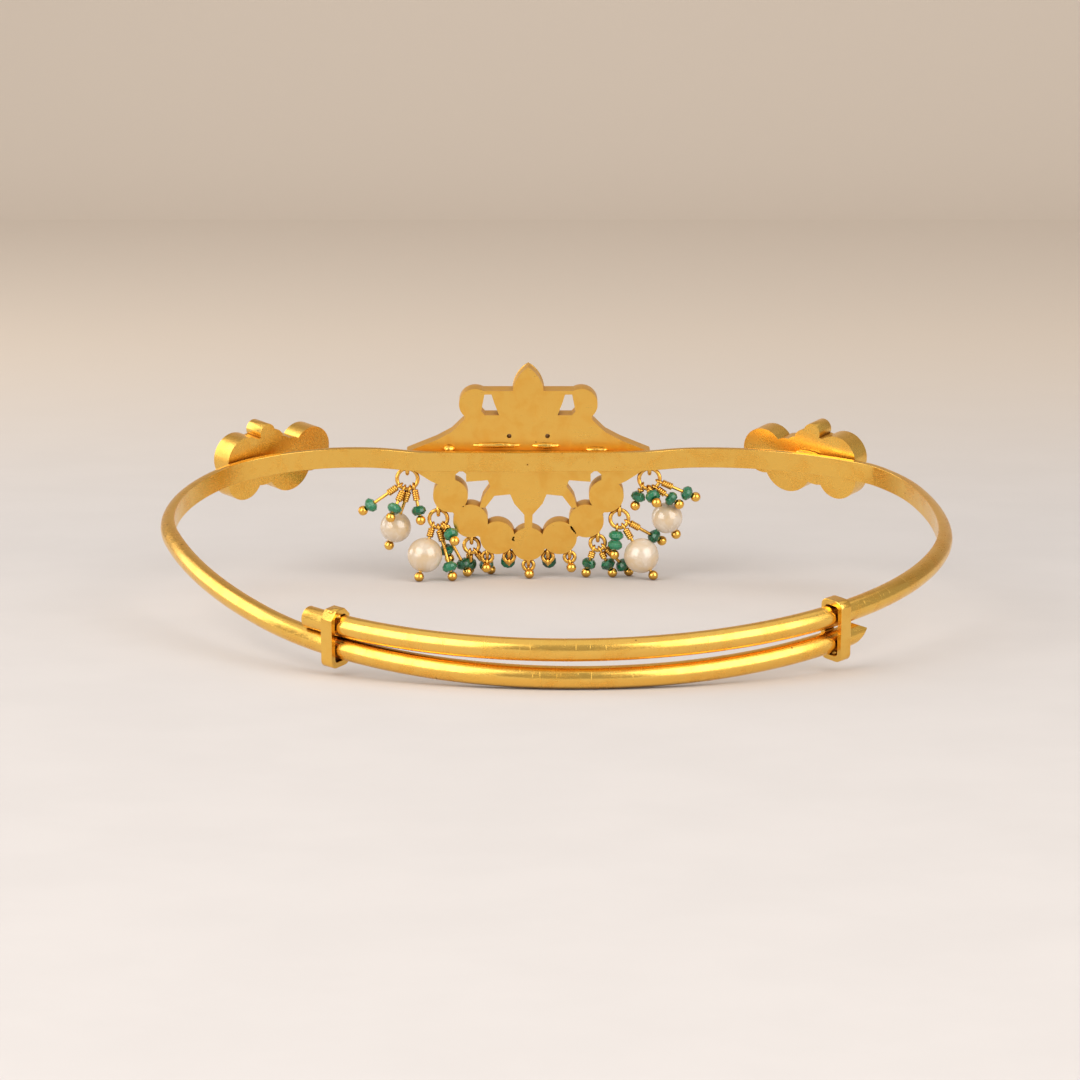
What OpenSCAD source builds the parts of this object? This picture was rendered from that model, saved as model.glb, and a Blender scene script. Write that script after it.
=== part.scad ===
// Vanki armlet: an adjustable gold hoop with a pierced centre plaque, two side
// motifs, and pearl and green bead drops. Millimetres, +Z up, resting on Z = 0.
// The wearer's side of the plaque faces -Y, toward the overlapped ends.

/* [Hoop] */
// Height of the half-round band
band_h = 2.45; // [2.40:0.01:2.48]
// Thickness of the band, from flat inner face to rounded outer face
band_t = 1.6; // [1.5:0.05:1.7]
// Radius of the arc that the overlapped ends follow
near_r = 42; // [41.9:0.05:42.1]
// Half length of the straight stretch behind the plaque
back_straight = 12.5; // [12.4:0.05:12.6]
// How far the hoop leans up toward the plaque, in degrees
lean = 10.3; // [10.2:0.05:10.4]
// How far each end climbs away from the hoop's plane, in degrees
climb = 1.28; // [1.26:0.01:1.32]
// How far the ends spread toward the right keeper, in degrees
spread = 0.28; // [0.2:0.02:0.3]

/* [Keepers] */
// Width of a keeper along the band
keeper_w = 1.5; // [1.3:0.1:1.8]
// Wall of a keeper
keeper_wall = 0.65; // [0.5:0.05:0.8]
// Free room between a keeper and the strip that slides in it
keeper_room = 0.12; // [0.1:0.01:0.15]

/* [Centre plaque] */
// Depth of the plaque with its closed settings
plaque_t = 2; // [1.8:0.1:2.2]
// Gap between the middle of the band and the plaque's back
plaque_off = 1.15; // [1.1:0.05:1.2]
// Radius of one scallop along the lower edge
scallop_r = 2.1; // [2.05:0.05:2.2]

/* [Side motifs] */
// Depth of a side motif's closed settings
motif_t = 2.7; // [2.6:0.1:2.9]
// From the middle of the band to a side motif's back
motif_off = 1.6; // [1.55:0.05:1.65]

/* [Stones] */
// Depth of the seat that a stone sits in
seat_t = 0.6; // [0.5:0.1:0.7]
// Rise of a stone's dome above the metal
stone_rise = 0.6; // [0.4:0.1:0.7]
// Rise of the petal's stone above the metal
petal_rise = 1.2; // [1:0.1:1.3]
// Free room around a stone
stone_room = 0.06; // [0.05:0.01:0.08]

/* [Drops] */
// Radius of the wire of rings and eyes
ring_wire = 0.24; // [0.2:0.02:0.26]
// Radius of a head pin's wire
pin_wire = 0.2; // [0.18:0.01:0.22]
// Radius of the gold ball at the end of a head pin
ball_r = 0.6; // [0.58:0.01:0.6]
// Radius of a small pearl
small_pearl_r = 1.88; // [1.8:0.02:1.9]
// Radius of a large pearl
large_pearl_r = 2.12; // [2.0:0.02:2.14]
// Radius of a green bead
green_r = 0.9; // [0.8:0.02:0.92]
// Length of a green bead along its pin
green_t = 1.1; // [1:0.05:1.15]

/* [Hidden] */
$fn = 32;

// The two halves of the hoop, from behind the plaque round to the overlap.
// Columns: turn in degrees (a minus turns outward), radius.
TURN = 0;
RADIUS = 1;
LEFT_HALF = [
    [-18, 8.0], [18, 17.3], [37, 21.7], [16, 14.0], [37, 26.5], [16, 22.9], [21, 73.3]
];
RIGHT_HALF = [
    [-18, 11.1], [18, 15.9], [37, 31.9], [16, 8.0], [21, 24.1],
    [16, 49.1], [16, 33.4], [16, 43.1], [24, 44.6]
];
// Turns at which the two strips end, and at which the keepers sit
lower_end_turn = 228.4;
upper_end_turn = 222.9;
left_keeper_turn = 37.2;
right_keeper_turn = 42.4;
// Degrees of turn between two sections of the band
section_step = 5;
section_points = 12;

band_r = band_h / 2;
flat_cut = band_t - band_r;
crown_shift = band_r - band_t / 2;
flat_angle = acos(-flat_cut / band_r);

// Plan position of the box's middle, seen from the hoop's middle behind the plaque
centre_x = 2.99;
centre_y = -30.25;

function sgn(t) = t < 0 ? -1 : 1;
function advance(p, step) =
    let (s = sgn(step[TURN]), r = step[RADIUS], h = p[2], e = p[2] + step[TURN])
    [p[0] + s * r * (sin(e) - sin(h)), p[1] + s * r * (cos(e) - cos(h)), e];
function arc_stations(p, step) =
    let (n = ceil(abs(step[TURN]) / section_step))
    [for (k = [1:n]) advance(p, [step[TURN] * k / n, step[RADIUS]])];
function total_turn(steps) = len(steps) == 0 ? 0 : [for (s = steps) s[TURN]] * [for (s = steps) 1];
function with_end(steps, end_turn) = concat(steps, [[end_turn - total_turn(steps), near_r]]);
function half_stations(steps) = concat(
    [[back_straight, 0, 0]],
    [for (i = 0, p = [back_straight, 0, 0]; i < len(steps); p = advance(p, steps[i]), i = i + 1)
        each arc_stations(p, steps[i])]
);
function arc_centre(steps) =
    let (p = half_stations(steps)[len(half_stations(steps)) - 1])
    [p[0] - near_r * sin(p[2]), p[1] - near_r * cos(p[2])];
near_centre = arc_centre(RIGHT_HALF);

// Height of the hoop's middle behind the plaque, with the lower strip on Z = 0
near_depth = near_r - near_centre[1];
near_drop = near_depth * tan(climb) + near_centre[0] * tan(spread);
far_z = band_r + (near_depth - crown_shift) * sin(lean) + near_drop * cos(lean);

// Height of a strip's middle above the hoop's plane at plan point x, y
function strip_z(x, y, upper) = (upper ? 1 : -1) * (-y * tan(climb) + x * tan(spread));

// D section: [outward, up], from the lower edge of the flat face round the crown
SECTION = [for (k = [0:section_points])
    let (a = -flat_angle + 2 * flat_angle * k / section_points)
    [band_r * cos(a) - crown_shift, band_r * sin(a)]];

// One section set at a station: side 1 is the right half, side -1 the left.
// A slant pulls the section's lower edge back along the strip.
function section_at(station, side, size = 1, ahead = 0, slant = 0) =
    let (h = station[2], out = [sin(h), cos(h)], along = [cos(h), -sin(h)])
    [for (q = SECTION)
        let (
            shift = ahead + slant * (q[1] - band_r),
            x = station[0] + size * q[0] * out[0] + shift * along[0],
            y = station[1] + size * q[0] * out[1] + shift * along[1]
        )
        [side * x, y, strip_z(side * station[0], station[1], side > 0) + size * q[1]]];

module band() {
    right = half_stations(with_end(RIGHT_HALF, upper_end_turn));
    left = half_stations(with_end(LEFT_HALF, lower_end_turn));
    last_r = len(right) - 1;
    last_l = len(left) - 1;
    rings = concat(
        [section_at(left[last_l], -1, slant = 0.85)],
        [for (i = [last_l - 1:-1:0]) section_at(left[i], -1)],
        [for (i = [0:last_r]) section_at(right[i], 1)],
        [section_at(right[last_r], 1, size = 0.72, ahead = 0.45)]
    );
    n = section_points + 1;
    points = [for (ring = rings) each ring];
    sides = [for (i = [0:len(rings) - 2], j = [0:n - 1])
        let (a = i * n + j, b = i * n + (j + 1) % n)
        each [[b, a, b + n], [b + n, a, a + n]]];
    first_cap = [for (j = [0:n - 1]) j];
    last_cap = [for (j = [n - 1:-1:0]) (len(rings) - 1) * n + j];
    polyhedron(points, concat(sides, [first_cap, last_cap]), convexity = 8);
}

module rounded_bar(w, h, r) {
    hull() for (x = [-1, 1], y = [-1, 1]) translate([x * (w / 2 - r), y * (h / 2 - r)]) circle(r);
}

// A flat loop round both strips, soldered to one of them on its inside
keeper_outer_corner = 0.9;
keeper_inner_corner = 0.35;
solder_t = 0.9;
solder_h = 0.7;
module keeper(turn, upper) {
    x = near_centre[0] + near_r * sin(turn);
    y = near_centre[1] - near_r * cos(turn);
    top = strip_z(x, y, true) + band_r + keeper_room;
    inner_t = band_t + 2 * keeper_room;
    soldered_side = upper ? 1 : -1;
    translate([x, y, 0]) rotate([0, 0, turn]) {
        rotate([90, 0, 90]) translate([0, 0, -keeper_w / 2]) linear_extrude(height = keeper_w)
            difference() {
                rounded_bar(inner_t + 2 * keeper_wall, 2 * (top + keeper_wall), keeper_outer_corner);
                rounded_bar(inner_t, 2 * top, keeper_inner_corner);
            }
        translate([0, 0, soldered_side * (top - keeper_room)])
            cube([keeper_w * 0.8, solder_t, solder_h], center = true);
    }
}

// Outline of the plaque, as the wearer's side shows it: x across, y up
PETAL_R = 3.87;
PETAL_C = 2.02;
SCALLOPS = [[-9.4, -4.9], [-7, -8.1], [-3.75, -10.25], [0, -11.05], [3.75, -10.25], [7, -8.1], [9.4, -4.9]];
crescent_y = -0.87;
crescent_r = 10.2;
crescent_w = 1.6;

module mirrored() {
    children();
    mirror([1, 0]) children();
}

module petal(size = 0) {
    intersection() {
        translate([-PETAL_C, 8]) circle(PETAL_R - size);
        translate([PETAL_C, 8]) circle(PETAL_R - size);
    }
}

module plaque_body() {
    petal();
    mirrored() translate([6.35, 6.65]) circle(1.95);
    translate([-6.3, 5]) square([12.6, 3.35]);
    mirrored() polygon([
        [0, 5.4], [7.5, 5.4], [7.7, 4.7], [9.2, 3.2], [11, 2.2], [14.6, 0.7], [14.9, -0.9],
        [13.6, -1.8], [11.8, -3], [10.4, -3.7], [8.8, -3.2], [8.8, -2.2], [8.1, -1.6],
        [7.5, -2.1], [7.5, -3.1], [4.9, -2.9], [4.6, -3.7], [5.5, -5], [5.9, -6.4],
        [5.2, -6.4], [4.1, -4.9], [2.2, -4.7], [1.7, -5.9], [0.5, -7.3], [0.45, -9.3],
        [1.2, -10.2], [0, -10.6]
    ]);
}

module crescent() {
    intersection() {
        difference() {
            translate([0, crescent_y]) circle(crescent_r + crescent_w / 2);
            translate([0, crescent_y]) circle(crescent_r - crescent_w / 2);
        }
        translate([-9.6, -14]) square([19.2, 9.5]);
    }
    for (c = SCALLOPS) translate(c) circle(scallop_r);
    mirrored() translate([9.7, -3.6]) circle(1.1);
}

module plaque_openings() {
    mirrored() polygon([[4.4, 7.9], [5.25, 7.9], [5.65, 5.8], [5.2, 5.3], [3.5, 5.3], [4.1, 6.9]]);
    mirrored() translate([2.3, 2.7]) circle(0.28);
}

// Upright plate from its outline, back face at depth d
module upright(d, t) {
    translate([0, d + t, 0]) rotate([90, 0, 0]) linear_extrude(height = t) children();
}

module centre_plaque() {
    front = plaque_off + plaque_t;
    difference() {
        upright(plaque_off, plaque_t) difference() {
            union() {
                plaque_body();
                crescent();
            }
            plaque_openings();
        }
        upright(front - seat_t, 1) for (i = [0:len(PLAQUE_STONES) - 1]) plaque_stone_outline(i, 0);
    }
    // Solder between band and plaque, with two runs that show above the band
    translate([-9.5, 0.5, -0.9]) cube([19, 0.9, 1.8]);
    translate([-8.9, 0.1, 0.8]) cube([7.4, 1.2, 0.75]);
    translate([0.8, 0.1, 0.8]) cube([3, 1.2, 0.75]);
}

// Stones of the plaque. Columns: kind, x, y, size.
KIND = 0;
SX = 1;
SY = 2;
SIZE = 3;
PLAQUE_STONES = concat(
    [["petal", 0, 0, 0.2], ["round", -6.9, 6.6, 1.15], ["round", 6.9, 6.6, 1.15],
     ["shield", 0, 0, 1], ["leaf", -9.6, 0.5, 1], ["leaf", 9.6, 0.5, -1]],
    [for (c = SCALLOPS) ["round", c[0], c[1], scallop_r - 0.5]]
);
module plaque_stone_outline(i, room) {
    s = PLAQUE_STONES[i];
    if (s[KIND] == "petal") petal(s[SIZE] + room);
    if (s[KIND] == "round") translate([s[SX], s[SY]]) circle(s[SIZE] - room);
    if (s[KIND] == "shield") intersection() {
        translate([-2.4, 0.4]) circle(4.9 - room);
        translate([2.4, 0.4]) circle(4.9 - room);
    }
    if (s[KIND] == "leaf") translate([s[SX], s[SY]]) rotate(s[SIZE] * 24) intersection() {
        translate([0, -3]) circle(4.1 - room);
        translate([0, 3]) circle(4.1 - room);
    }
}

// Lobes of a side motif. Columns: distance outward along the band, height, radius.
MOTIF_LOBES = [
    [-6.8, 0, 2.75], [-3.3, -1.15, 3.3], [-1.9, 0.9, 1.8], [-1, 2.3, 1.4],
    [0, 3.5, 1.1], [0.6, 0.1, 3], [3.3, 0.75, 2.85], [3.6, -1.5, 2.6]
];
// Stones of a side motif: same columns
MOTIF_STONES = [[-7, 0.1, 1.8], [-3.2, -1.5, 2.1], [3.3, 1.4, 1.7], [3.8, -2.1, 1.5]];
// Where a side motif's middle stands behind the band. Columns: x, y, turn.
LEFT_MOTIF = [-30.1, -1.25, 43];
RIGHT_MOTIF = [33, -1.4, 35];

module at_motif(place) {
    side = place[0] < 0 ? -1 : 1;
    translate([place[0], place[1], 0]) rotate([0, 0, -side * place[2]])
        mirror([side < 0 ? 1 : 0, 0, 0]) children();
}

module side_motif(place) {
    at_motif(place) {
        difference() {
            upright(motif_off, motif_t) for (l = MOTIF_LOBES) translate([l[0], l[1]]) circle(l[2]);
            upright(motif_off + motif_t - seat_t, 1)
                for (s = MOTIF_STONES) translate([s[0], s[1]]) circle(s[2]);
        }
        // Solder where the straight back meets the curved band
        translate([1.6, 1, -0.7]) cube([5, 0.8, 1.4]);
    }
}

// Eyes under the plaque's edge that carry the drops. Columns: x, height in the
// hoop's plane, radius of the ring that hangs in it.
EYES = [
    [-14.6, -1.75, 1.25], [-10.9, -7.0, 1.1], [-6.9, -10.6, 0.9], [-5.0, -12.4, 0.62],
    [-2.35, -12.35, 0.62], [0, -13.45, 0.62], [2.35, -12.35, 0.62], [5.0, -12.4, 0.62],
    [8.4, -10.3, 0.9], [11.0, -7.0, 1.1], [14.6, -1.75, 1.25]
];
eye_r = 0.62;
eye_facets = 14;
eye_y = plaque_off + plaque_t / 2;
module eye(e) {
    translate([e[0], eye_y, e[1]]) rotate([0, 90, 0])
        rotate_extrude($fn = eye_facets) translate([eye_r, 0]) circle(ring_wire, $fn = eye_facets);
}

module place() {
    translate([-centre_x, -centre_y, far_z]) rotate([lean, 0, 0]) children();
}

module gold_frame() {
    color("goldenrod") place() {
        band();
        keeper(-left_keeper_turn, true);
        keeper(right_keeper_turn, false);
        centre_plaque();
        side_motif(LEFT_MOTIF);
        side_motif(RIGHT_MOTIF);
        for (e = EYES) eye(e);
    }
}

// Domed stone from its outline: a straight girdle in the seat, a low dome above
module domed(r) {
    dome_r = (r * r + stone_rise * stone_rise) / (2 * stone_rise);
    intersection() {
        translate([0, 0, stone_room]) cylinder(r = r, h = seat_t + stone_rise);
        translate([0, 0, seat_t + stone_rise - dome_r]) sphere(dome_r, $fn = 96);
    }
}

module plaque_stone(i) {
    s = PLAQUE_STONES[i];
    base = plaque_off + plaque_t - seat_t;
    rise = s[KIND] == "petal" ? petal_rise : stone_rise;
    color("honeydew") place() {
        if (s[KIND] == "round")
            translate([s[SX], base, s[SY]]) rotate([-90, 0, 0]) domed(s[SIZE] - stone_room);
        else upright(base + stone_room, seat_t + rise - stone_room) plaque_stone_outline(i, stone_room);
    }
}

module motif_stone(place, i) {
    s = MOTIF_STONES[i];
    color("honeydew") place() at_motif(place)
        translate([s[0], motif_off + motif_t - seat_t, s[1]]) rotate([-90, 0, 0]) domed(s[2] - stone_room);
}

// Drops. Columns: eye, angle round its ring from the lowest point, then the end
// ball's place (x, y, z from the floor under the band's middle), kind, bead count.
EYE = 0;
ANGLE = 1;
TIP = 2;
BEAD = 3;
COUNT = 4;
DROPS = [
    [0, -50, [-20.0, 3.2, 8.4], "green", 1],
    [0, -20, [-16.6, 1.0, 7.9], "green", 1],
    [0, 40, [-13.0, 2.0, 7.4], "green", 1],
    [0, 10, [-16.9, 4.2, 4.0], "small_pearl", 1],
    [1, -40, [-13.2, 1.2, 0.6], "large_pearl", 1],
    [1, 50, [-8.9, 1.2, 5.0], "green", 1],
    [1, 5, [-9.6, 4.7, 2.3], "green", 1],
    [1, 30, [-7.4, 4.2, 0.7], "green", 1],
    [1, 0, [-9.2, 1.7, 0.6], "green", 1],
    [2, 35, [-4.6, 6.7, 0.6], "green", 1],
    [2, -15, [-7.2, 6.7, 0.6], "green", 1],
    [3, 0, [-5.1, 3.7, 1.3], "plain", 0],
    [4, 0, [-2.6, 7.6, 1.6], "green", 1],
    [5, 0, [0.1, 3.5, 0.6], "plain", 0],
    [6, 0, [2.6, 7.6, 1.6], "green", 1],
    [7, 0, [5.2, 3.9, 1.3], "plain", 0],
    [8, -35, [7.0, 4.4, 0.6], "green", 1],
    [8, 20, [10.2, 4.4, 0.6], "green", 1],
    [8, 60, [12.2, 5.4, 0.6], "green", 1],
    [9, -15, [10.4, 3.2, 3.0], "green", 2],
    [9, 30, [15.1, 2.4, 0.6], "large_pearl", 1],
    [9, 70, [16.2, 5.2, 4.4], "green", 1],
    [10, -45, [12.9, 2.6, 9.1], "green", 1],
    [10, -5, [15.4, 0.3, 9.8], "green", 1],
    [10, 35, [18.2, 2.4, 9.3], "green", 1],
    [10, 75, [20.2, 3.0, 10.1], "green", 1],
    [10, 10, [17.9, 4.6, 5.3], "small_pearl", 1]
];
GREEN_DROPS = [for (i = [0:len(DROPS) - 1], k = [0:1])
    if (DROPS[i][BEAD] == "green" && k < DROPS[i][COUNT]) [i, k]];
PEARL_DROPS = [for (i = [0:len(DROPS) - 1])
    if (DROPS[i][BEAD] == "small_pearl" || DROPS[i][BEAD] == "large_pearl") i];
bead_gap = 0.05;

// The hoop's plane to the resting frame, from the floor under the band's middle
function to_rest(p) = [
    p[0],
    p[1] * cos(lean) - p[2] * sin(lean),
    p[1] * sin(lean) + p[2] * cos(lean) + far_z
];
function ring_centre(e) = to_rest([EYES[e][0], eye_y, EYES[e][1]]) - [0, 0, EYES[e][2]];
function pin_top(d) = ring_centre(d[EYE]) + EYES[d[EYE]][2] * [sin(d[ANGLE]), 0, -cos(d[ANGLE])];
function unit(v) = v / norm(v);
function half_bead(d) =
    d[BEAD] == "green" ? green_t / 2 : d[BEAD] == "small_pearl" ? small_pearl_r : large_pearl_r;
function bead_centre(d, k) =
    d[TIP] + unit(pin_top(d) - d[TIP]) * (ball_r + (2 * k + 1) * half_bead(d) + (k + 1) * bead_gap);

module foot_place() {
    translate([-centre_x, -centre_y, 0]) children();
}

// Turns the children's Z axis onto the direction v
module along(v) {
    rotate([0, acos(v[2] / norm(v)), atan2(v[1], v[0])]) children();
}

module drop_wires(e) {
    color("gold") foot_place() {
        translate(ring_centre(e)) rotate([90, 0, 0])
            rotate_extrude() translate([EYES[e][2], 0]) circle(ring_wire);
        for (d = DROPS) if (d[EYE] == e) {
            run = pin_top(d) - d[TIP];
            translate(d[TIP]) along(run) {
                sphere(ball_r);
                cylinder(r = pin_wire, h = norm(run));
            }
        }
    }
}

module green_bead(i) {
    d = DROPS[GREEN_DROPS[i][0]];
    bore = pin_wire + bead_gap;
    color("seagreen") foot_place() translate(bead_centre(d, GREEN_DROPS[i][1])) along(pin_top(d) - d[TIP])
        rotate_extrude() polygon([
            [bore, -green_t / 2], [0.6 * green_r, -green_t / 2], [green_r, -green_t / 5],
            [green_r, green_t / 5], [0.6 * green_r, green_t / 2], [bore, green_t / 2]
        ]);
}

module pearl(i) {
    d = DROPS[PEARL_DROPS[i]];
    color("ivory") foot_place() translate(bead_centre(d, 0)) along(pin_top(d) - d[TIP])
        difference() {
            sphere(half_bead(d));
            cylinder(r = pin_wire + bead_gap, h = 3 * half_bead(d), center = true);
        }
}

function names(stem, n) = [for (i = [1:n]) str(stem, "_", i)];

gold_frame();
for (i = [0:len(PLAQUE_STONES) - 1])
    plaque_stone(i);
for (i = [0:len(MOTIF_STONES) - 1]) {
    motif_stone(LEFT_MOTIF, i);
    motif_stone(RIGHT_MOTIF, i);
}
for (e = [0:len(EYES) - 1])
    drop_wires(e);
for (i = [0:len(GREEN_DROPS) - 1])
    green_bead(i);
for (i = [0:len(PEARL_DROPS) - 1])
    pearl(i);
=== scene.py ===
"""Looks of the vanki armlet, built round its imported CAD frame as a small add-on."""

import contextlib
import math
import random
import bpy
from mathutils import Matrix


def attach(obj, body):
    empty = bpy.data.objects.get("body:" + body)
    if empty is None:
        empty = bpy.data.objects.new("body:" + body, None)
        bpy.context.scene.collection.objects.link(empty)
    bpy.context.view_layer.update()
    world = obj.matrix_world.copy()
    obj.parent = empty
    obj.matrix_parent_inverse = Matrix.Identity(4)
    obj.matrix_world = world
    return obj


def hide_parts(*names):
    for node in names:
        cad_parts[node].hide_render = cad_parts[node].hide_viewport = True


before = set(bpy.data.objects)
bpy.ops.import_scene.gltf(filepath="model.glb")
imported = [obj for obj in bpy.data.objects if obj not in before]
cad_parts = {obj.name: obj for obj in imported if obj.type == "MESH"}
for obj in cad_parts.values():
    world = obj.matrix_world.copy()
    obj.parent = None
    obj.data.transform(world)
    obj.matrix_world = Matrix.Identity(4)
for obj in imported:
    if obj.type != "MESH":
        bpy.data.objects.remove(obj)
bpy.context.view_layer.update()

from types import SimpleNamespace

import bmesh
import bpy
from bpy.props import FloatProperty, FloatVectorProperty, PointerProperty
from mathutils import Matrix, Vector

bl_info = {
    "name": "Vanki armlet",
    "version": (1, 0, 0),
    "blender": (4, 5, 0),
    "location": "3D View > Sidebar > Armlet",
    "description": "Builds a gold armlet with a pierced plaque, side motifs and bead drops",
    "category": "Object",
}

MM = 0.001

# The hoop from behind the plaque round to the overlap: turn in degrees, radius in mm.
LEFT_ARCS = [(-18, 8.0), (18, 17.3), (37, 21.7), (16, 14.0), (37, 26.5), (16, 22.9), (21, 73.3)]
RIGHT_ARCS = [
    (-18, 11.1), (18, 15.9), (37, 31.9), (16, 8.0), (21, 24.1),
    (16, 49.1), (16, 33.4), (16, 43.1), (24, 44.6),
]
LOWER_END_TURN = 228.4
UPPER_END_TURN = 222.9
KEEPER_TURNS = {"left_keeper": -37.2, "right_keeper": 42.4}
HOOP_MIDDLE = Vector((2.99, -30.25, 0))

# Plaque outline parts in mm, across and up, as the wearer's side shows them.
PETAL_RADIUS = 3.87
PETAL_SHIFT = 2.02
PETAL_HEIGHT = 8.0
WING_OUTLINE = [
    (0, 5.4), (7.5, 5.4), (7.7, 4.7), (9.2, 3.2), (11, 2.2), (14.6, 0.7), (14.9, -0.9),
    (13.6, -1.8), (11.8, -3), (10.4, -3.7), (8.8, -3.2), (8.8, -2.2), (8.1, -1.6),
    (7.5, -2.1), (7.5, -3.1), (4.9, -2.9), (4.6, -3.7), (5.5, -5), (5.9, -6.4),
    (5.2, -6.4), (4.1, -4.9), (2.2, -4.7), (1.7, -5.9), (0.5, -7.3), (0.45, -9.3),
    (1.2, -10.2), (0, -10.6),
]
SHOULDER_BAR = [(-6.3, 5), (6.3, 5), (6.3, 8.35), (-6.3, 8.35)]
SHOULDERS = [(-6.35, 6.65), (6.35, 6.65)]
SHOULDER_RADIUS = 1.95
SCALLOPS = [
    (-9.4, -4.9), (-7, -8.1), (-3.75, -10.25), (0, -11.05), (3.75, -10.25), (7, -8.1), (9.4, -4.9),
]
CRESCENT_ENDS = [(-9.7, -3.6), (9.7, -3.6)]
CRESCENT_END_RADIUS = 1.1
CRESCENT_MIDDLE = (0, -0.87)
CRESCENT_RADII = (9.4, 11.0)
CRESCENT_SPAN = 67.0
UPPER_OPENING = [(4.4, 7.9), (5.25, 7.9), (5.65, 5.8), (5.2, 5.3), (3.5, 5.3), (4.1, 6.9)]
PIN_HOLES = [(-2.3, 2.7), (2.3, 2.7)]
PIN_HOLE_RADIUS = 0.28

# Stones of the plaque: kind, across, up, size, rise above the metal, all in mm.
PLAQUE_STONES = [
    ("petal", 0, 0, 0.2, 1.2),
    ("round", -6.9, 6.6, 1.15, 0.6),
    ("round", 6.9, 6.6, 1.15, 0.6),
    ("shield", 0, 0, 4.9, 0.6),
    ("leaf", -9.6, 0.5, 24, 0.6),
    ("leaf", 9.6, 0.5, -24, 0.6),
] + [("round", x, z, 1.6, 0.6) for x, z in SCALLOPS]

# Side motifs in mm: distance outward along the band, height, radius.
MOTIF_LOBES = [
    (-6.8, 0, 2.75), (-3.3, -1.15, 3.3), (-1.9, 0.9, 1.8), (-1, 2.3, 1.4),
    (0, 3.5, 1.1), (0.6, 0.1, 3), (3.3, 0.75, 2.85), (3.6, -1.5, 2.6),
]
MOTIF_STONE_RISE = 0.6
# How far outside a seat's wall its bezel wire runs, in mm.
BEZEL_OUT = 0.1
# A cut stone's crown: how much each step shrinks, and its share of the rise.
CROWN_STEPS = ((0.97, 0.2), (0.82, 0.45), (0.76, 0.25), (0.72, 0.1))
# The band's ends: the rounding of the upper tip, and the lower point's two slopes, where they
# meet (a share of the band's height over its middle) and the rounding of its edges.
UPPER_TIP_ROUND = 0.38
LOWER_POINT_SLOPES = (-1.18, 2.0)
LOWER_POINT_RISE = 0.22
LOWER_POINT_ROUND = 0.09
# Roundings of a keeper's corners, of its hollow's and of its edges, and of the plaque's corners.
KEEPER_CORNER = 0.85
KEEPER_HOLLOW_CORNER = 0.35
KEEPER_EDGE = 0.1
PLAQUE_CORNER = 0.22
# Wraps under a pin's loop: pitch and first turn in radii of their wire, and the most there are.
WRAP_PITCH = 1.75
WRAP_FIRST = 0.8
WRAPS_MOST = 5
# A green bead: its flat sides, its end's radius and its girdle's height as shares of the whole,
# how uneven its corners are, and the rounding of its edges.
BEAD_SIDES = 11
BEAD_SHOULDER = 0.62
BEAD_FLAT = 0.36
BEAD_UNEVEN = (0.95, 1.04)
BEAD_EDGE = 0.03
# A pearl: how far its ends are flattened, and its unevenness as amount and lump size.
PEARL_FLAT = 0.985
PEARL_UNEVEN = (0.05, 2.4)
MOTIF_STONES = [(-7, 0.1, 1.8), (-3.2, -1.5, 2.1), (3.3, 1.4, 1.7), (3.8, -2.1, 1.5)]
# Where each motif's middle stands behind the band in mm, and its turn in degrees.
MOTIF_PLACES = {"left_motif": (-30.1, -1.25, 43), "right_motif": (33, -1.4, 35)}

# Solder lumps: across, depth and height of the middle, then the three half sizes.
BAND_SOLDER = [
    (-3.85, 1.15, 1.55, 2.85, 0.42, 0.34), (2.1, 1.15, 1.5, 1.65, 0.42, 0.36),
    (-9.5, 0.8, 1.2, 0.7, 0.5, 0.42), (0.0, 0.95, 0.0, 9.4, 0.42, 0.85),
    (8.2, 0.95, 1.05, 1.3, 0.4, 0.3),
]
MOTIF_SOLDER = {
    "left_motif": [(4.0, 1.35, 0.0, 2.6, 0.35, 0.65), (1.2, 1.35, 0.3, 0.7, 0.4, 0.45)],
    "right_motif": [(4.0, 1.35, 0.0, 2.6, 0.35, 0.65), (-0.2, 1.2, 0.95, 1.7, 0.5, 0.3)],
}

# Eyes under the plaque: across, height in the hoop's plane, radius of the hanging ring.
EYES = [
    (-14.6, -1.75, 1.25), (-10.9, -7.0, 1.1), (-6.9, -10.6, 0.9), (-5.0, -12.4, 0.62),
    (-2.35, -12.35, 0.62), (0, -13.45, 0.62), (2.35, -12.35, 0.62), (5.0, -12.4, 0.62),
    (8.4, -10.3, 0.9), (11.0, -7.0, 1.1), (14.6, -1.75, 1.25),
]
EYE_RADIUS = 0.62

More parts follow.
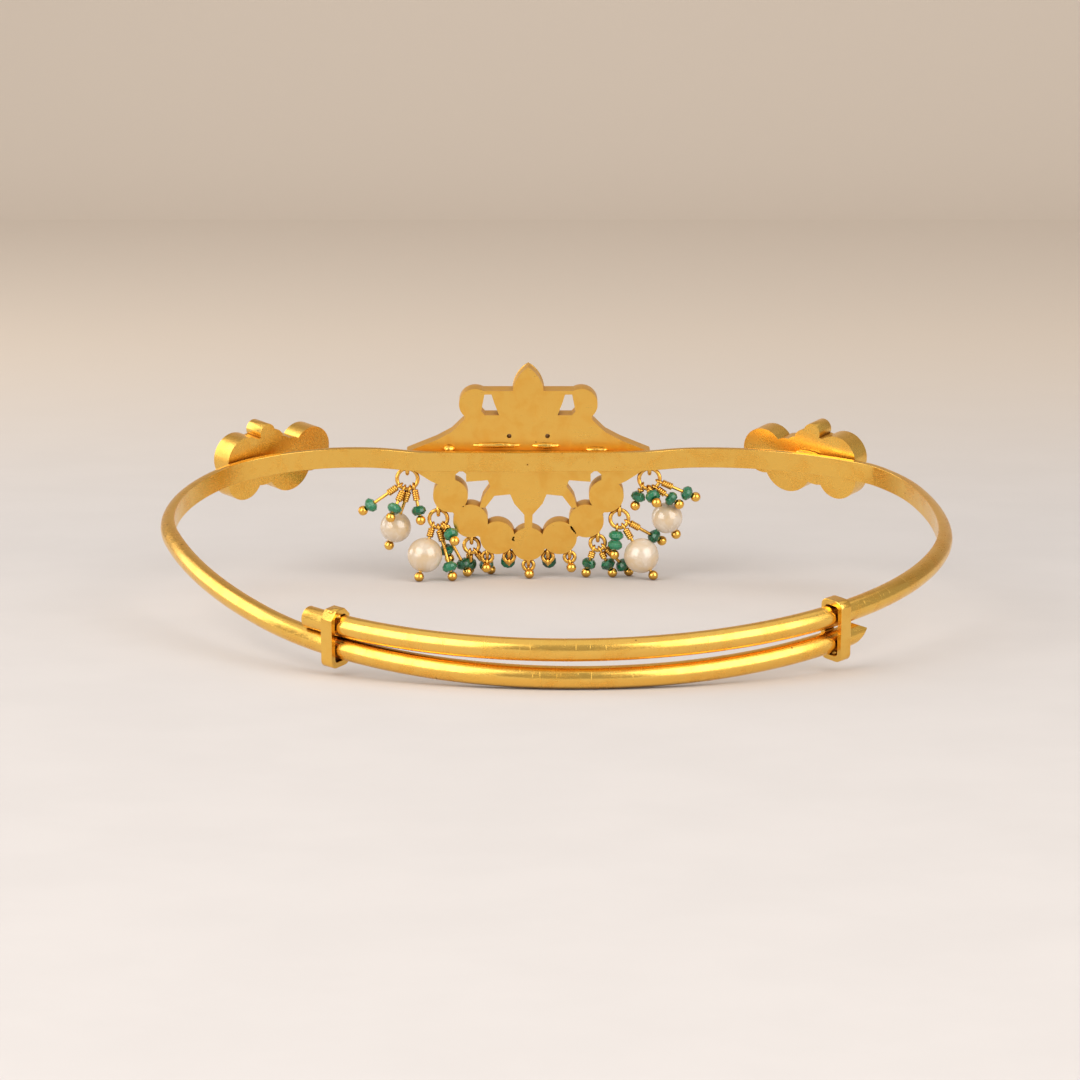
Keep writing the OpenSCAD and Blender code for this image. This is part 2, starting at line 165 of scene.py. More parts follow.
# Drops in mm: eye, angle round its ring, end ball's place from the floor under the
# band's middle, kind of bead, how many.
DROPS = [
    (0, -50, (-20.0, 3.2, 8.4), "green", 1),
    (0, -20, (-16.6, 1.0, 7.9), "green", 1),
    (0, 40, (-13.0, 2.0, 7.4), "green", 1),
    (0, 10, (-16.9, 4.2, 4.0), "small pearl", 1),
    (1, -40, (-13.2, 1.2, 0.6), "large pearl", 1),
    (1, 50, (-8.9, 1.2, 5.0), "green", 1),
    (1, 5, (-9.6, 4.7, 2.3), "green", 1),
    (1, 30, (-7.4, 4.2, 0.7), "green", 1),
    (1, 0, (-9.2, 1.7, 0.6), "green", 1),
    (2, 35, (-4.6, 6.7, 0.6), "green", 1),
    (2, -15, (-7.2, 6.7, 0.6), "green", 1),
    (3, 0, (-5.1, 3.7, 1.3), "plain", 0),
    (4, 0, (-2.6, 7.6, 1.6), "green", 1),
    (5, 0, (0.1, 3.5, 0.6), "plain", 0),
    (6, 0, (2.6, 7.6, 1.6), "green", 1),
    (7, 0, (5.2, 3.9, 1.3), "plain", 0),
    (8, -35, (7.0, 4.4, 0.6), "green", 1),
    (8, 20, (10.2, 4.4, 0.6), "green", 1),
    (8, 60, (12.2, 5.4, 0.6), "green", 1),
    (9, -15, (10.4, 3.2, 3.0), "green", 2),
    (9, 30, (15.1, 2.4, 0.6), "large pearl", 1),
    (9, 70, (16.2, 5.2, 4.4), "green", 1),
    (10, -45, (12.9, 2.6, 9.1), "green", 1),
    (10, -5, (15.4, 0.3, 9.8), "green", 1),
    (10, 35, (18.2, 2.4, 9.3), "green", 1),
    (10, 75, (20.2, 3.0, 10.1), "green", 1),
    (10, 10, (17.9, 4.6, 5.3), "small pearl", 1),
]
BEAD_GAP = 0.05

# Softboxes: azimuth from the camera's side in degrees, share of the settings' distance,
# height in m, share of the power, size in m.
SOFTBOXES = {
    "left_softbox": (-50, 1, 0.23, 1.0, (0.44, 0.5)),
    "right_softbox": (48, 1, 0.23, 0.95, (0.44, 0.5)),
    "left_window": (-112, 1, 0.2, 0.4, (0.3, 0.4)),
    "ceiling_softbox": (0, 0, 0.75, 0.75, (1.1, 1.0)),
}
LIGHT_COLOUR = (1.0, 0.965, 0.92)
LIGHT_AIM = Vector((0, 0, 0.012))
ROOM_COLOUR = (0.80, 0.765, 0.72, 1)
ROOM_STRENGTH = 0.54
CAMERA_PLACE = Vector((-1.59, -490.67, 87.81))
# The floor in m: its size before it sweeps up, how far it is moved, and the sweep.
FLOOR_SIZE = (3.2, 1.6, 1)
FLOOR_FORWARD = -0.25
FLOOR_BACK = 0.8
BACKDROP_RISE = 1.4
BACKDROP_ROUND = 0.3


# ---------------------------------------------------------------- settings


def length(name, description, value):
    """A length setting, given in millimetres."""
    return FloatProperty(
        name=name, description=description, default=value * MM,
        min=0.0, unit="LENGTH", subtype="DISTANCE", precision=5,
    )


def angle(name, description, value):
    """An angle setting, given in degrees."""
    return FloatProperty(name=name, description=description, default=math.radians(value), subtype="ANGLE")


def colour(name, description, value):
    """A linear colour setting."""
    return FloatVectorProperty(
        name=name, description=description, default=value, size=3, min=0.0, max=1.0, subtype="COLOR",
    )


class BandSettings(bpy.types.PropertyGroup):
    """Sizes of the band and its keepers"""

    height: length("Band height", "Height of the half-round band", 2.45)
    thickness: length("Band thickness", "From the flat inner face to the crown", 1.6)
    near_radius: length("Overlap radius", "Radius of the arc of the overlapped ends", 42)
    straight: length("Straight half", "Half length of the straight stretch behind the plaque", 12.5)
    edge: length("Edge round", "Rounding of the edges of the flat inner face", 0.16)
    lean: angle("Lean", "How far the hoop leans up toward the plaque", 10.3)
    climb: angle("Climb", "How far each end climbs away from the hoop's plane", 1.28)
    spread: angle("Spread", "How far the ends spread toward the right keeper", 0.28)
    keeper_width: length("Keeper width", "Width of a keeper along the band", 1.5)
    keeper_wall: length("Keeper wall", "Wall of a keeper", 0.65)
    keeper_room: length("Keeper room", "Free room between keeper and strip", 0.12)


class OrnamentSettings(bpy.types.PropertyGroup):
    """Sizes of the plaque, motifs and stones"""

    plaque_depth: length("Plaque depth", "Depth of the plaque", 2.0)
    plaque_gap: length("Plaque gap", "From the band's middle to the plaque's back", 1.15)
    scallop_radius: length("Scallop radius", "Radius of one scallop", 2.1)
    motif_depth: length("Motif depth", "Depth of a side motif", 2.7)
    motif_gap: length("Motif gap", "From the band's middle to a motif's back", 1.6)
    rim: length("Rim round", "Rounding of the sawn rims", 0.13)
    seat: length("Seat depth", "Depth of the seat that a stone sits in", 0.6)
    stone_room: length("Stone room", "Free room round a stone", 0.06)
    bezel: length("Bezel wire", "Radius of the wire round each stone", 0.16)


class DropSettings(bpy.types.PropertyGroup):
    """Sizes of the drops"""

    ring_wire: length("Ring wire", "Radius of the wire of rings and eyes", 0.24)
    pin_wire: length("Pin wire", "Radius of a head pin's wire", 0.2)
    wrap_wire: length("Wrap wire", "Radius of the wire of loops and wraps", 0.15)
    ball: length("End ball", "Radius of the ball at a head pin's end", 0.6)
    small_pearl: length("Small pearl", "Radius of a small pearl", 1.88)
    large_pearl: length("Large pearl", "Radius of a large pearl", 2.12)
    bead: length("Green bead", "Radius of a green bead", 0.9)
    bead_length: length("Bead length", "Length of a green bead along its pin", 1.1)


class FinishSettings(bpy.types.PropertyGroup):
    """Colours of the finishes"""

    gold: colour("Gold", "Colour of the polished gold", (0.92, 0.565, 0.12))
    worn_gold: colour("Worn gold", "Colour of the gold in its duller patches", (0.84, 0.42, 0.06))
    # Colour of the tarnished specks, also used for the painted shade in crevices.
    tarnish_and_shade: colour("Tarnish", "Colour of specks and crevices", (0.16, 0.06, 0.015))
    pearl: colour("Pearl", "Body colour of the pearls", (0.64, 0.54, 0.405))
    green: colour("Green", "Body colour of the green beads", (0.006, 0.19, 0.085))
    clear: colour("Clear stone", "Colour of the clear stones", (0.93, 0.95, 0.94))
    floor: colour("Floor", "Colour of the floor", (0.64, 0.612, 0.607))
    backdrop: colour("Backdrop", "Colour of the floor where it rises behind", (0.77, 0.675, 0.585))


class StageSettings(bpy.types.PropertyGroup):
    """Light and camera"""

    light: FloatProperty(
        name="Softbox power", description="Power of each softbox in watts", default=2.0, min=0.0,
    )
    reach: length("Softbox distance", "From the armlet to each softbox", 450)
    pitch: angle("Camera pitch", "How far the camera looks down", 9)
    lens: FloatProperty(name="Lens", description="Focal length in millimetres", default=146.1, min=1.0)


# ---------------------------------------------------------------- modelling helpers


def sizes_of(name):
    """One group of settings, its lengths in millimetres."""
    group = getattr(bpy.context.scene, name)
    values = {}
    for key in group.__annotations__:
        value = getattr(group, key)
        values[key] = value / MM if group.bl_rna.properties[key].unit == "LENGTH" else value
    return SimpleNamespace(**values)


def deselect_all():
    for obj in bpy.context.selected_objects:
        obj.select_set(False)
    bpy.context.view_layer.objects.active = None


def activate(obj):
    deselect_all()
    obj.select_set(True)
    bpy.context.view_layer.objects.active = obj


def scene_object(name, data):
    obj = bpy.data.objects.new(name, data)
    bpy.context.scene.collection.objects.link(obj)
    return obj


@contextlib.contextmanager
def editing(obj, mode="FACE"):
    """Edit mode on one object, with nothing selected, ending in object mode."""
    activate(obj)
    bpy.ops.object.mode_set(mode="EDIT")
    bpy.ops.mesh.select_mode(type=mode)
    bpy.ops.mesh.select_all(action="DESELECT")
    yield
    bpy.ops.object.mode_set(mode="OBJECT")


def pick_all():
    bpy.ops.mesh.select_all(action="SELECT")


def pick(kind, test):
    """Selects, in edit mode, the vertices, edges or faces that pass a test."""
    mesh = bmesh.from_edit_mesh(bpy.context.edit_object.data)
    bpy.ops.mesh.select_all(action="DESELECT")
    for item in getattr(mesh, kind):
        if test(item):
            item.select = True
    mesh.select_flush_mode()
    bmesh.update_edit_mesh(bpy.context.edit_object.data)


def sharp(edge, degrees):
    return edge.is_manifold and edge.calc_face_angle() > math.radians(degrees)


def middle_of(edge):
    return (edge.verts[0].co + edge.verts[1].co) / 2


def near(edge, spot, reach):
    return (middle_of(edge) - spot).length < reach


def bevel(offset, segments, clamp=True):
    """Rounds the picked edges."""
    bpy.ops.mesh.bevel(offset=offset, segments=segments, affect="EDGES", clamp_overlap=clamp)


def place(obj, matrix):
    """Puts a place and turn into the mesh, still in millimetres."""
    obj.matrix_world = matrix
    activate(obj)
    bpy.ops.object.transform_apply(location=True, rotation=True, scale=True)


def settle(obj, matrix):
    """Puts a finished piece in its place in the frame, in metres."""
    place(obj, Matrix.Diagonal((MM, MM, MM, 1)) @ matrix)


def apply_modifier(obj, kind, **values):
    activate(obj)
    modifier = obj.modifiers.new(kind.title(), kind)
    for key, value in values.items():
        setattr(modifier, key, value)
    bpy.ops.object.modifier_apply(modifier=modifier.name)


def combine(obj, tools, operation):
    """Unites tools with obj, or cuts them out of it, and removes them."""
    for tool in tools:
        apply_modifier(obj, "BOOLEAN", operation=operation, solver="EXACT", object=tool)
        bpy.data.objects.remove(tool)


def join(objects, name):
    deselect_all()
    for obj in objects:
        obj.select_set(True)
    bpy.context.view_layer.objects.active = objects[0]
    if len(objects) > 1:
        bpy.ops.object.join()
    objects[0].name = name
    return objects[0]


def copy_of(obj, name):
    twin = obj.copy()
    twin.data = obj.data.copy()
    twin.name = name
    bpy.context.scene.collection.objects.link(twin)
    return twin


def outward_normals(obj):
    with editing(obj):
        pick_all()
        bpy.ops.mesh.normals_make_consistent(inside=False)


def smooth(obj, degrees=35.0):
    """Smooth shading with flat faces kept flat."""
    activate(obj)
    bpy.ops.object.shade_smooth_by_angle(angle=math.radians(degrees))
    apply_modifier(obj, "WEIGHTED_NORMAL", keep_sharp=True, weight=80)


def roughen(obj, amount, size):
    """Makes a smooth piece uneven, by an amount and a lump size in mm."""
    texture = bpy.data.textures.new("lumps", "CLOUDS")
    texture.noise_scale = size
    apply_modifier(obj, "DISPLACE", texture=texture, strength=amount, mid_level=0.5)
    bpy.data.textures.remove(texture)


def disc(radius, depth, x=0.0, y=0.0, z=0.0, sides=56):
    """A cylinder standing on height z."""
    deselect_all()
    bpy.ops.mesh.primitive_cylinder_add(
        vertices=sides, radius=radius, depth=depth, location=(x, y, z + depth / 2), end_fill_type="NGON",
    )
    obj = bpy.context.object
    place(obj, obj.matrix_world.copy())
    return obj


def block(width, depth, height):
    deselect_all()
    bpy.ops.mesh.primitive_cube_add(size=1)
    obj = bpy.context.object
    place(obj, Matrix.Diagonal((width, depth, height, 1)))
    return obj


def ball(radius, segments=24, rings=16):
    deselect_all()
    bpy.ops.mesh.primitive_uv_sphere_add(segments=segments, ring_count=rings, radius=radius)
    return bpy.context.object


def torus(major, minor, major_sides=40, minor_sides=12):
    deselect_all()
    bpy.ops.mesh.primitive_torus_add(
        major_radius=major, minor_radius=minor, major_segments=major_sides, minor_segments=minor_sides,
    )
    return bpy.context.object


def curve_mesh(points, **values):
    """A closed curve through points, made mesh."""
    curve = bpy.data.curves.new("line", "CURVE")
    for key, value in values.items():
        setattr(curve, key, value)
    spline = curve.splines.new("POLY")
    spline.points.add(len(points) - 1)
    for point, spot in zip(spline.points, points):
        point.co = (*spot, 1)
    spline.use_cyclic_u = True
    activate(scene_object("line", curve))
    bpy.ops.object.convert(target="MESH")
    return bpy.context.object


def plate(points, depth, z=0.0):
    """A prism on height z from an outline, traced as a filled curve and thickened."""
    obj = curve_mesh([(x, y, 0) for x, y in points], dimensions="2D", fill_mode="BOTH", extrude=depth / 2)
    place(obj, Matrix.Translation((0, 0, z + depth / 2)))
    with editing(obj, "VERT"):
        pick_all()
        bpy.ops.mesh.remove_doubles(threshold=0.001)
        bpy.ops.mesh.dissolve_limited(angle_limit=math.radians(0.3))
        bpy.ops.mesh.normals_make_consistent(inside=False)
    return obj


def wire_loop(points, radius):
    """A round wire closed along points."""
    return curve_mesh(points, dimensions="3D", bevel_depth=radius, bevel_resolution=3, use_fill_caps=False)


def mirrored(points):
    return [(-x, y) for x, y in reversed(points)]


def crossed_circles(radius, shift, up=0.0, across=0.0, turn=0.0, upright=True, steps=16):
    """Outline of two crossed circles: pointed at both ends."""
    half = math.acos(shift / radius)
    points = []
    for side in (1, -1):
        for k in range(steps):
            a = half * (1 - 2 * k / steps)
            x, y = side * (radius * math.cos(a) - shift), side * radius * math.sin(a)
            points.append((x, y) if upright else (y, -x))
    c, s = math.cos(math.radians(turn)), math.sin(math.radians(turn))
    return [(across + x * c - y * s, up + x * s + y * c) for x, y in points]


def turned_to(axis, spot):
    """Stands a Z-axis piece along an axis at a spot."""
    return Matrix.Translation(spot) @ Vector(axis).to_track_quat("Z", "Y").to_matrix().to_4x4()


def finish_piece(obj, name, replaced, material, degrees=35.0, flat=False):
    """Names a piece, gives it its finish and ties it to the frame."""
    obj.name = name
    obj.data.name = name
    if flat:
        activate(obj)
        bpy.ops.object.shade_flat()
    else:
        smooth(obj, degrees)
    obj.data.materials.clear()
    obj.data.materials.append(finish_of(material))
    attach(obj, "root")
    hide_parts(*replaced)
    deselect_all()


def finish_gold(obj, name, material, degrees=35.0):
    """Finishes a piece of the soldered gold frame."""
    finish_piece(obj, name, ["gold_frame"], material, degrees)


# ---------------------------------------------------------------- places, in millimetres


def hoop_point(point, arc):
    """The end of one arc of the hoop, from a point (x, y, heading in degrees)."""
    x, y, heading = point
    turn, radius = arc
    sign = -1 if turn < 0 else 1
    a, b = math.radians(heading), math.radians(heading + turn)
    x += sign * radius * (math.sin(b) - math.sin(a))
    y += sign * radius * (math.cos(b) - math.cos(a))
    return x, y, heading + turn


def arc_middle(point, arc):
    x, y, heading = point
    turn, radius = arc
    sign = -1 if turn < 0 else 1
    a = math.radians(heading)
    return Vector((x - sign * radius * math.sin(a), y - sign * radius * math.cos(a), 0))


def near_middle():
    """Middle of the arc that the overlapped ends follow."""
    band = sizes_of("armlet_band")
    point = (band.straight, 0.0, 0.0)
    for arc in RIGHT_ARCS:
        point = hoop_point(point, arc)
    return arc_middle(point, (1, band.near_radius))


def hoop_height():
    """Height of the band's middle behind the plaque above the floor."""
    band = sizes_of("armlet_band")
    middle = near_middle()
    depth = band.near_radius - middle.y
    drop = depth * math.tan(band.climb) + middle.x * math.tan(band.spread)
    crown_shift = (band.height - band.thickness) / 2
    return band.height / 2 + (depth - crown_shift) * math.sin(band.lean) + drop * math.cos(band.lean)


def foot_matrix():
    """From the floor under the band's middle to the frame."""
    return Matrix.Translation(-HOOP_MIDDLE)


def hoop_matrix():
    """From the hoop's own plane to the frame, as it rests."""
    lean = Matrix.Rotation(sizes_of("armlet_band").lean, 4, "X")
    return foot_matrix() @ Matrix.Translation((0, 0, hoop_height())) @ lean


def motif_matrix(name):
    """From a motif's own plane to the hoop's plane."""
    x, y, turn = MOTIF_PLACES[name]
    side = -1 if x < 0 else 1
    spot = Matrix.Translation((x, y, 0)) @ Matrix.Rotation(math.radians(-side * turn), 4, "Z")
    return spot @ Matrix.Diagonal((side, 1, 1, 1))


def upright_matrix(back, depth):
    """Stands a flat piece up: its lower face turns away from the wearer."""
    return Matrix.Translation((0, back + depth, 0)) @ Matrix.Rotation(math.radians(90), 4, "X")


def front_matrix(base):
    """Stands a flat piece up with its top facing away from the wearer."""
    return upright_matrix(base, 0) @ Matrix.Diagonal((1, 1, -1, 1))


def strip_shear(upper):
    """The climb and spread of one end of the band."""
    band = sizes_of("armlet_band")
    sign = 1 if upper else -1
    shear = Matrix.Identity(4)
    shear[2][0] = sign * math.tan(band.spread)
    shear[2][1] = -sign * math.tan(band.climb)
    return shear


# ---------------------------------------------------------------- finishes


class Nodes:
    """Short ways to add and link shader nodes."""

    def __init__(self, name):
        self.material = bpy.data.materials.new(name)
        self.material.use_nodes = True
        self.tree = self.material.node_tree
        self.shader = self.tree.nodes["Principled BSDF"]
        self.place = self.add("ShaderNodeTexCoord").outputs["Object"]

    def fill(self, node, inputs):
        """Links sockets and sets plain values; a colour is given without its alpha."""
        for key, value in inputs.items():
            socket = node.inputs[key]
            if isinstance(value, bpy.types.NodeSocket):
                self.tree.links.new(value, socket)
            else:
                socket.default_value = (*value, 1.0) if socket.type == "RGBA" else value

    def add(self, kind, inputs=None, **values):
        node = self.tree.nodes.new(kind)
        for key, value in values.items():
            setattr(node, key, value)
        self.fill(node, inputs or {})
        return node

    def done(self, inputs):
        """Fills the shader and hands over the material."""
        self.fill(self.shader, inputs)
        return self.material

    def sum(self, operation, *terms):
        return self.add("ShaderNodeMath", dict(enumerate(terms)), operation=operation).outputs[0]

    def stretched(self, vector, scale, turn=(0, 0, 0)):
        return self.add("ShaderNodeMapping", {"Vector": vector, "Scale": scale, "Rotation": turn}).outputs[0]

    def noise(self, vector, scale, detail=3.0, roughness=0.55, distortion=0.0):
        inputs = {"Vector": vector, "Scale": scale, "Detail": detail}
        inputs.update({"Roughness": roughness, "Distortion": distortion})
        return self.add("ShaderNodeTexNoise", inputs).outputs[0]

    def band(self, value, low, high, to_low=0.0, to_high=1.0):
        """Maps a value from one range to another, eased and held at its ends."""
        inputs = {"Value": value, "From Min": low, "From Max": high, "To Min": to_low, "To Max": to_high}
        return self.add("ShaderNodeMapRange", inputs, interpolation_type="SMOOTHSTEP").outputs[0]

    def mix(self, factor, a, b):
        """Mixes two colours: sockets 6 and 7 are the node's colour inputs, 2 its colour output."""
        return self.add("ShaderNodeMix", {0: factor, 6: a, 7: b}, data_type="RGBA").outputs[2]

    def specks(self, vector, scale, size, share):
        """Round specks: 1 inside a speck, with only a share of the cells filled."""
        cells = self.add("ShaderNodeTexVoronoi", {"Vector": vector, "Scale": scale})
        spot = self.band(cells.outputs["Distance"], size * 0.5, size, 1.0, 0.0)
        chosen = self.add("ShaderNodeSeparateColor", {0: cells.outputs["Color"]})
        return self.sum("MULTIPLY", spot, self.sum("LESS_THAN", chosen.outputs[0], share))

    def crevice(self, reach):
        """Mask for painted crevice shade: 1 in a crevice narrower than reach, 0 in the open."""
        node = self.add("ShaderNodeAmbientOcclusion", {"Distance": reach}, samples=8)
        return self.band(node.outputs["AO"], 0.25, 0.8, 1.0, 0.0)

    def bump(self, height, distance, strength=1.0, under=None):
        inputs = {"Height": height, "Distance": distance, "Strength": strength}
        if under is not None:
            inputs["Normal"] = under
        return self.add("ShaderNodeBump", inputs).outputs[0]


def rounded_place(nodes):
    """Object coordinates unrolled round the hoop: along the band, across it, up."""
    x, y, z = nodes.add("ShaderNodeSeparateXYZ", {0: nodes.place}).outputs
    along = nodes.sum("MULTIPLY", nodes.sum("ARCTAN2", y, x), 40 * MM)
    away = nodes.sum("SQRT", nodes.sum("MULTIPLY_ADD", y, y, nodes.sum("MULTIPLY", x, x)))
    joined = nodes.add("ShaderNodeCombineXYZ", {0: along, 1: nodes.sum("MULTIPLY", away, 0.3), 2: z})
    return joined.outputs[0]


# Golds: brushed along the band or not, range of roughness, share of specks,
# hammering and reach of the painted shade in crevices in mm, least wear.
GOLDS = {
    "brushed_band_gold": (True, (0.17, 0.3), 0.07, 0.02, 0.6, 0.0),
    "sawn_plate_gold": (False, (0.27, 0.4), 0.02, 0.03, 0.6, 0.0),
    # Opening walls: rougher filed gold, and a high least wear and wide crevice reach that paint shade onto the
    # walls.
    "filed_wall_gold": (False, (0.3, 0.46), 0.12, 0.04, 1.4, 0.8),
    "satin_setting_gold": (False, (0.2, 0.33), 0.03, 0.04, 0.9, 0.0),
    "bright_setting_gold": (False, (0.14, 0.26), 0.03, 0.03, 0.5, 0.0),
    "wire_gold": (False, (0.13, 0.26), 0.05, 0.008, 1.5, 0.35),
    "solder_gold": (False, (0.16, 0.36), 0.2, 0.08, 0.4, 0.0),
}


def gold_finish(name, brushed, rough, specked, hammered, reach, worn):
    """Satin gold: brushed lines, fine scratches, duller patches, tarnished specks, and painted shade in the
    crevices.
    """
    finish = bpy.context.scene.armlet_finish
    nodes = Nodes(name)
    grain_place = rounded_place(nodes) if brushed else nodes.place
    lines = nodes.noise(nodes.stretched(grain_place, (700, 9000, 9000)), 1.0, 5.0, 0.7)
    patches = nodes.noise(nodes.place, 420, 4.0, 0.6, 0.4)
    fine = nodes.noise(nodes.place, 5200, 3.0, 0.6)
    scratch_place = nodes.stretched(grain_place, (5200, 420, 420), (0.3, 0.2, 0.9))
    scratches = nodes.band(nodes.noise(scratch_place, 1.0, 2.0, 0.5), 0.66, 0.74)
    specks = nodes.specks(nodes.place, 950, 0.16, specked)
    duller = nodes.band(patches, 0.42, 0.68, worn, 1.0)
    body = finish.gold
    # Duller patches, scratches and specks are real wear; the crevice mix paints shade into narrow hollows.
    for share, strength, colour_over in (
        (duller, 0.45, finish.worn_gold), (scratches, 0.18, finish.worn_gold),
        (specks, 0.75, finish.tarnish_and_shade), (nodes.crevice(reach * MM), 0.65, finish.tarnish_and_shade),
    ):
        body = nodes.mix(nodes.sum("MULTIPLY", share, strength), body, colour_over)
    shine = nodes.sum("MULTIPLY_ADD", lines, 0.5, nodes.sum("MULTIPLY", patches, 0.5))
    roughness = nodes.sum("MULTIPLY_ADD", scratches, 0.1, nodes.band(shine, 0.35, 0.65, *rough))
    waves = nodes.bump(nodes.noise(nodes.place, 260, 2.0), hammered * MM)
    fine_lines = nodes.sum("ADD", lines, nodes.sum("MULTIPLY", fine, 0.6))
    grain = nodes.bump(fine_lines, 0.006 * MM, 0.8, waves)
    pits = nodes.sum("MULTIPLY", nodes.sum("ADD", scratches, specks), -1.0)
    return nodes.done({
        "Base Color": body, "Metallic": 1.0, "Roughness": nodes.sum("MULTIPLY_ADD", specks, 0.25, roughness),
        "Normal": nodes.bump(pits, 0.008 * MM, 0.7, grain),
    })


def tinted(tint, *shares):
    """A colour with its red, green and blue each scaled and held under 1."""
    return tuple(min(1.0, value * share) for value, share in zip(tint, shares))


def pearl_finish():
    """Cream nacre: soft body, a gloss coat, faint rings and a painted darker, warmer shade round the edge."""
    pearl = bpy.context.scene.armlet_finish.pearl
    nodes = Nodes("ivory_nacre")
    cloud = nodes.noise(nodes.place, 380, 3.0, 0.55, 0.6)
    rings = nodes.noise(nodes.stretched(nodes.place, (500, 500, 3200)), 1.0, 3.0)
    warm, pale = tinted(pearl, 0.95, 0.86, 0.72), tinted(pearl, 1.06, 1.1, 1.22)
    # Painted shade: the body darkens and warms towards the edge, where the surface turns away from view.
    facing = nodes.add("ShaderNodeLayerWeight", {"Blend": 0.45}).outputs["Facing"]
    edge = nodes.band(facing, 0.45, 1.0, 0.0, 0.55)
    body = nodes.mix(nodes.band(cloud, 0.35, 0.68), warm, pale)
    return nodes.done({
        "Base Color": nodes.mix(edge, body, tinted(pearl, 0.9, 0.72, 0.5)),
        "Roughness": nodes.band(cloud, 0.3, 0.7, 0.2, 0.3),
        "Subsurface Weight": 0.1, "Subsurface Scale": 0.0008, "Subsurface Radius": (1.0, 0.8, 0.55),
        "Coat Weight": 1.0, "Coat Roughness": 0.1, "Coat IOR": 1.68, "Specular IOR Level": 0.6,
        "Sheen Weight": 0.1, "Normal": nodes.bump(rings, 0.004 * MM, 0.5),
    })


def green_finish():
    """Cut green stone: deep body with clouds and pale veins, polished facets."""
    green = bpy.context.scene.armlet_finish.green
    nodes = Nodes("cut_green_stone")
    deep = tinted(green, 0.35, 0.35, 0.35)
    pale = (green[0] * 4 + 0.01, green[1] * 1.8, green[2] * 2.0)
    cloud = nodes.noise(nodes.place, 900, 4.0, 0.6, 0.8)
    tone = nodes.noise(nodes.place, 230, 1.0)
    vein_place = nodes.stretched(nodes.place, (1200, 3200, 1500))
    veins = nodes.band(nodes.noise(vein_place, 1.0, 5.0, 0.7, 1.4), 0.6, 0.72)
    body = nodes.mix(nodes.band(cloud, 0.35, 0.62), deep, green)
    body = nodes.mix(nodes.band(tone, 0.45, 0.62, 0.0, 0.55), body, pale)
    return nodes.done({
        "Base Color": nodes.mix(nodes.sum("MULTIPLY", veins, 0.5), body, pale),
        "Roughness": nodes.band(cloud, 0.3, 0.7, 0.12, 0.26), "Transmission Weight": 0.2, "IOR": 1.57,
        "Coat Weight": 0.35, "Coat Roughness": 0.12, "Normal": nodes.bump(cloud, 0.01 * MM, 0.4),
    })


def clear_finish():
    """Clear cut stone over a silvery foil, with faint inner feathers."""
    clear = bpy.context.scene.armlet_finish.clear
    nodes = Nodes("cut_clear_stone")
    feather_place = nodes.stretched(nodes.place, (900, 2600, 1300))
    feathers = nodes.band(nodes.noise(feather_place, 1.0, 4.0, 0.6, 1.0), 0.58, 0.75)
    return nodes.done({
        "Base Color": nodes.mix(feathers, clear, tinted(clear, 0.62, 0.62, 0.62)),
        "Roughness": nodes.band(feathers, 0.0, 1.0, 0.03, 0.12), "Transmission Weight": 0.6, "IOR": 1.62,
        "Coat Weight": 0.5, "Coat Roughness": 0.03, "Metallic": 0.25,
    })


def cloth_finish(name, tint, backdrop):
    """Matt stage cover with a barely seen grain, warmer where it rises behind."""
    nodes = Nodes(name)
    grain = nodes.band(nodes.noise(nodes.place, 60, 3.0), 0.3, 0.7)
    away = nodes.add("ShaderNodeSeparateXYZ", {0: nodes.place}).outputs[1]
    near = nodes.mix(grain, tint, tinted(tint, 0.975, 0.975, 0.975))
    return nodes.done({
        "Base Color": nodes.mix(nodes.band(away, 0.05, 0.32), near, backdrop),
        "Roughness": 0.9, "Specular IOR Level": 0.15,
    })


def finish_of(name):
    """A finish by name, made the first time it is asked for."""
    made = bpy.data.materials.get(name)
    if made:
        return made
    if name in GOLDS:
        return gold_finish(name, *GOLDS[name])
    makers = {"ivory_nacre": pearl_finish, "cut_green_stone": green_finish, "cut_clear_stone": clear_finish}
    return makers[name]()


# ---------------------------------------------------------------- pieces


def half_round_profile(band):
    """The band's section in the YZ plane: a circle cut flat on its inner side, edges eased."""
    radius = band.height / 2
    deselect_all()
    bpy.ops.mesh.primitive_circle_add(vertices=44, radius=radius, rotation=(0, math.radians(90), 0))
    profile = bpy.context.object
    place(profile, profile.matrix_world.copy())
    flat = radius - band.thickness
    with editing(profile, "VERT"):
        pick_all()
        bpy.ops.mesh.bisect(plane_co=(0, flat, 0), plane_no=(0, 1, 0), clear_inner=True, threshold=1e-5)
        pick("verts", lambda v: abs(v.co.y - flat) < 1e-4)
        bpy.ops.mesh.edge_face_add()
        bpy.ops.mesh.bevel(offset=band.edge, segments=3, affect="VERTICES", clamp_overlap=True)
        pick_all()
        bpy.ops.transform.translate(value=(0, band.thickness / 2 - radius, 0))
    return profile


def band_half(band, arcs, end_turn, side):
    """Half the band, spun arc by arc from behind the plaque; returns it, its end and way ahead."""
    half = half_round_profile(band)
    overlap = (end_turn - sum(turn for turn, _ in arcs), band.near_radius)
    point = (band.straight, 0.0, 0.0)
    with editing(half, "VERT"):
        pick_all()
        for _ in range(4):
            bpy.ops.mesh.extrude_region_move(TRANSFORM_OT_translate={"value": (band.straight / 4, 0, 0)})
        for arc in arcs + [overlap]:
            steps = max(4, math.ceil(abs(arc[0]) / 1.5))
            bpy.ops.mesh.spin(
                steps=steps, angle=math.radians(arc[0]), center=arc_middle(point, arc), axis=(0, 0, 1),
            )
            point = hoop_point(point, arc)
        bpy.ops.mesh.edge_face_add()
        if side < 0:
            pick_all()
            bpy.ops.transform.resize(value=(-1, 1, 1), center_override=(0, 0, 0))
        pick_all()
        bpy.ops.mesh.normals_make_consistent(inside=False)
    heading = math.radians(point[2])
    end = Vector((side * point[0], point[1], 0))
    return half, end, Vector((side * math.cos(heading), -math.sin(heading), 0))


